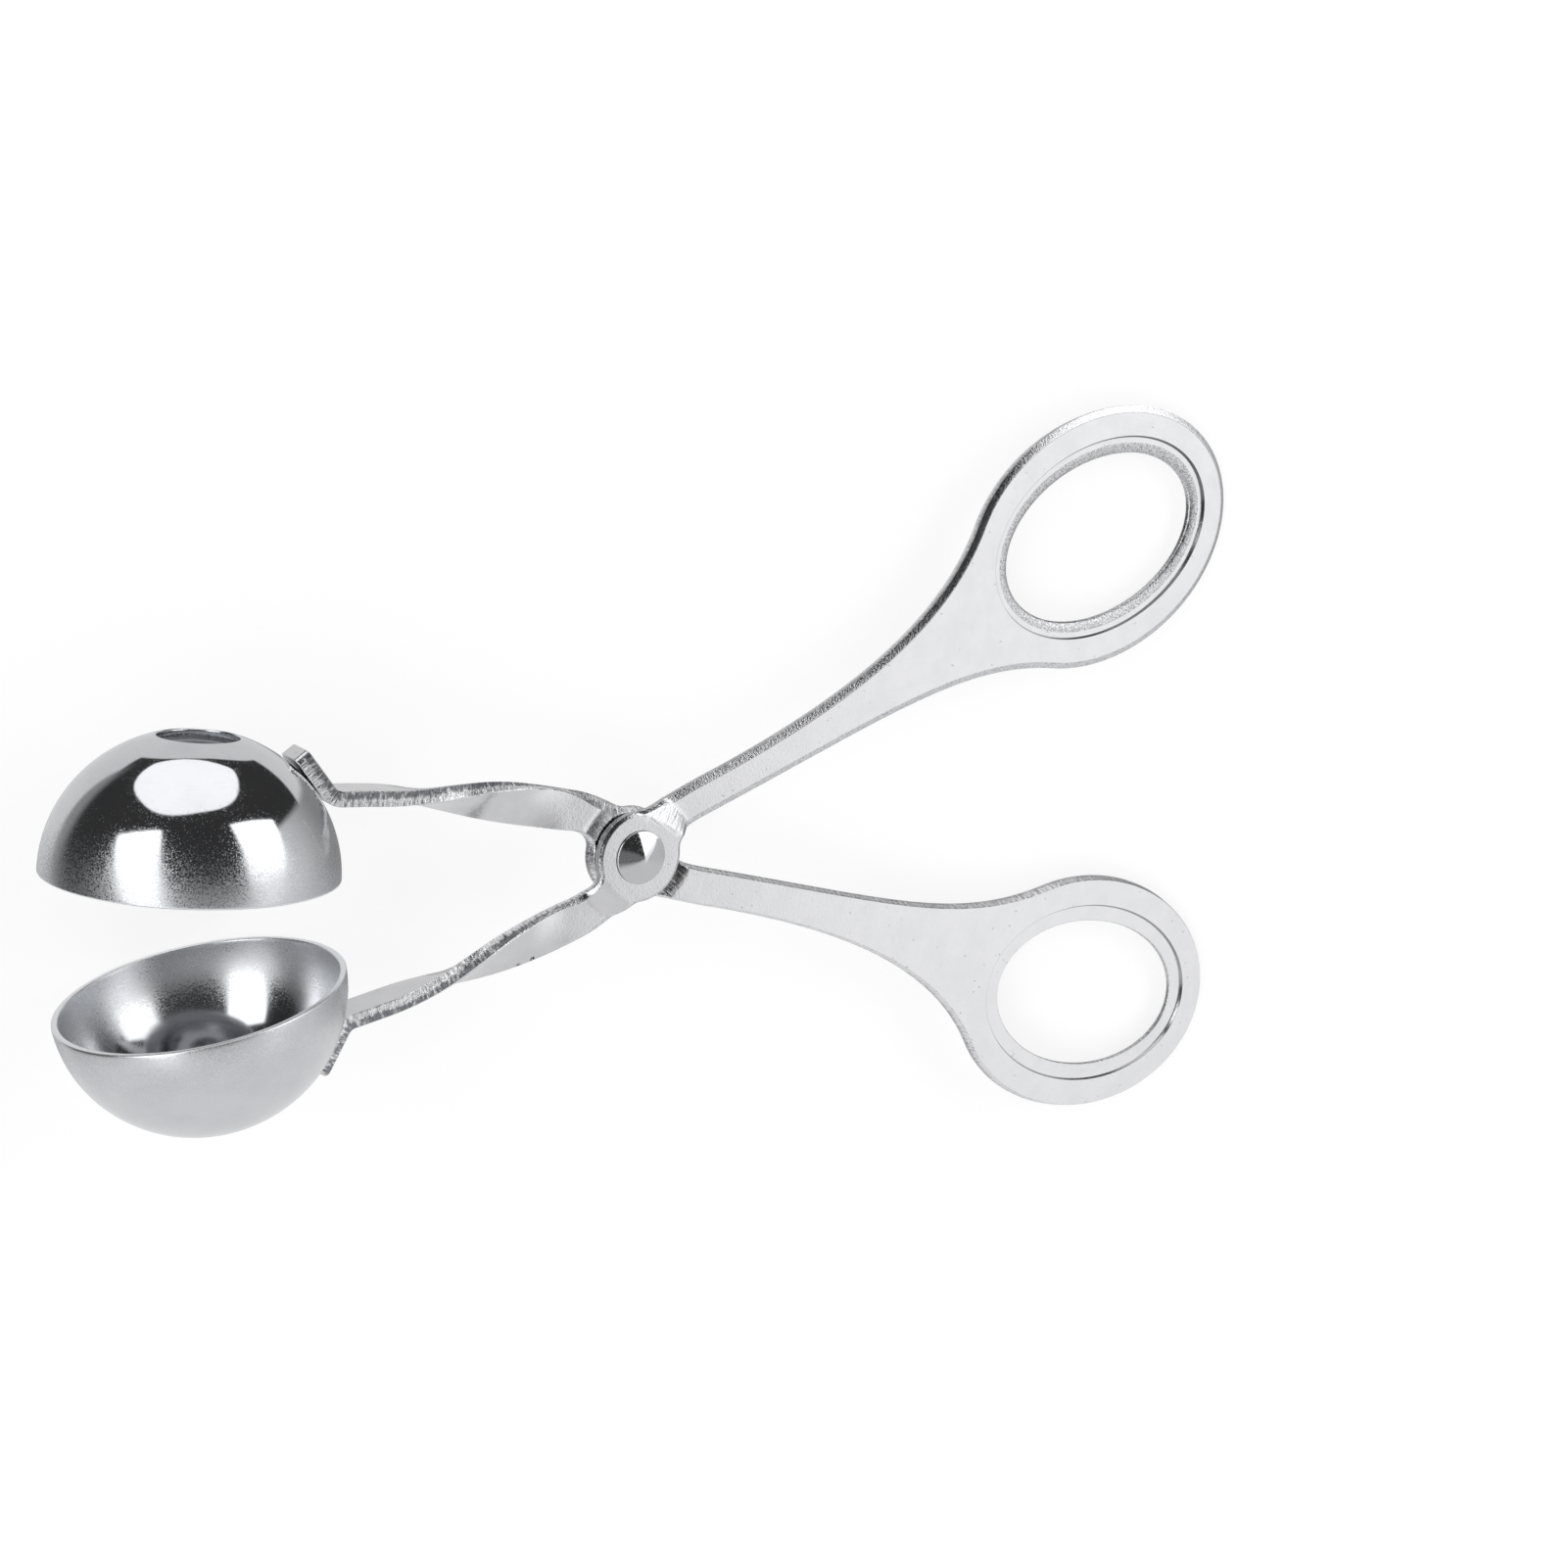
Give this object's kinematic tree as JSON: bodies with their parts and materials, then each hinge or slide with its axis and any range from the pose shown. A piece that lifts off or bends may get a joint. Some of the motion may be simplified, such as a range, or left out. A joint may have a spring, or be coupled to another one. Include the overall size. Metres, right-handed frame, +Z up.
{
  "type": "meatball tongs",
  "caption": "Scissor-action steel tongs with vented hemispherical bowls at the tips and oval finger loops on the handles, for shaping and releasing meatballs.",
  "frame": {"origin": "middle of the overall box at table level, with the tongs lying on their side as they rest", "axes": "+X along the tongs from the bowls to the finger loops, +Y towards the thumb loop, +Z up, close to the pivot axis"},
  "size_m": [0.1882, 0.114, 0.0355],
  "materials": {
    "lever_steel": "bright tumbled sheet, satin faces and sheared edges",
    "bowl_steel": "polished outside, fine satin near the rim and inside",
    "rivet_steel": "polished"
  },
  "bodies": {
    "finger_side": {"finger_lever": "lever_steel", "cap_bowl": "bowl_steel", "pivot_rivet": "rivet_steel"},
    "thumb_side": {"thumb_lever": "lever_steel", "scoop_bowl": "bowl_steel"}
  },
  "joints": [
    {"name": "pivot", "type": "hinge", "parent": "finger_side", "child": "thumb_side", "pos_m": [-0.01546, 0, 0.01174], "axis": [0.0978, 0, 0.9952], "range_deg": [-13.8, 38]}
  ]
}
